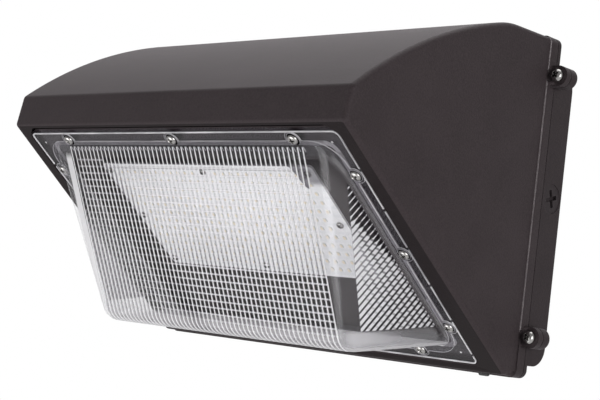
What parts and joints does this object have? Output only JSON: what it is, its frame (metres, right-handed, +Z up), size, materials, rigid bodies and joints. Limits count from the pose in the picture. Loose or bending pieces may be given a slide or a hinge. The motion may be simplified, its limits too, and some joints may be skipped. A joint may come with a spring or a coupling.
{
  "type": "wall pack light",
  "caption": "Outdoor wall light with a hinged die-cast hood, a sloping prismatic lens over an LED board and a driver inside, on a shallow wall box.",
  "frame": {"origin": "on the wall plane, in the middle of the wall box's hole pattern and at mid height of the hood", "axes": "+X right as seen from the front, -Y out from the wall towards the viewer, +Z up"},
  "size_m": [0.3882, 0.2297, 0.2455],
  "materials": {
    "bronze_casting": "textured powder coat",
    "clear_plastic": "gloss",
    "silicone": "matte",
    "black_rubber": "matte",
    "stainless": "satin",
    "white_board": "matte",
    "led_phosphor": "satin",
    "driver_case": "satin",
    "zinc_plate": "zinc plated",
    "terminal_plastic": "matte",
    "ground_green": "gloss",
    "lead_insulation": "gloss",
    "plug_bronze": "powder coat"
  },
  "bodies": {
    "box": {"back_box": "bronze_casting", "conduit_plug_right": "plug_bronze", "conduit_plug_left": "plug_bronze", "terminal_block": "terminal_plastic", "terminal_screws": "stainless", "ground_screw": "ground_green", "ground_washer": "zinc_plate", "hinge_pin_upper": "stainless", "hinge_pin_lower": "stainless", "hinge_pin_clips": "stainless"},
    "door": {"front_housing": "bronze_casting", "lens": "clear_plastic", "lens_gasket": "silicone", "lens_screws": "stainless", "led_board": "white_board", "led_chips": "led_phosphor", "led_board_screws": "stainless", "driver_base_plate": "zinc_plate", "led_driver": "driver_case", "driver_screws": "stainless", "dc_leads": "lead_insulation", "lead_grommet": "black_rubber", "door_gasket": "silicone", "drain_plug": "black_rubber"},
    "door_screw_upper": {"door_screw_upper": "stainless"},
    "door_screw_lower": {"door_screw_lower": "stainless"}
  },
  "joints": [
    {"name": "door_hinge", "type": "hinge", "parent": "box", "child": "door", "pos_m": [-0.1876, -0.02385, 0], "axis": [0, 0, -1], "range_deg": [0, 95]},
    {"name": "door_screw_upper_slide", "type": "slide", "parent": "door", "child": "door_screw_upper", "axis": [0, -1, 0], "range_m": [0, 0.008]},
    {"name": "door_screw_lower_slide", "type": "slide", "parent": "door", "child": "door_screw_lower", "axis": [0, -1, 0], "range_m": [0, 0.008]}
  ]
}
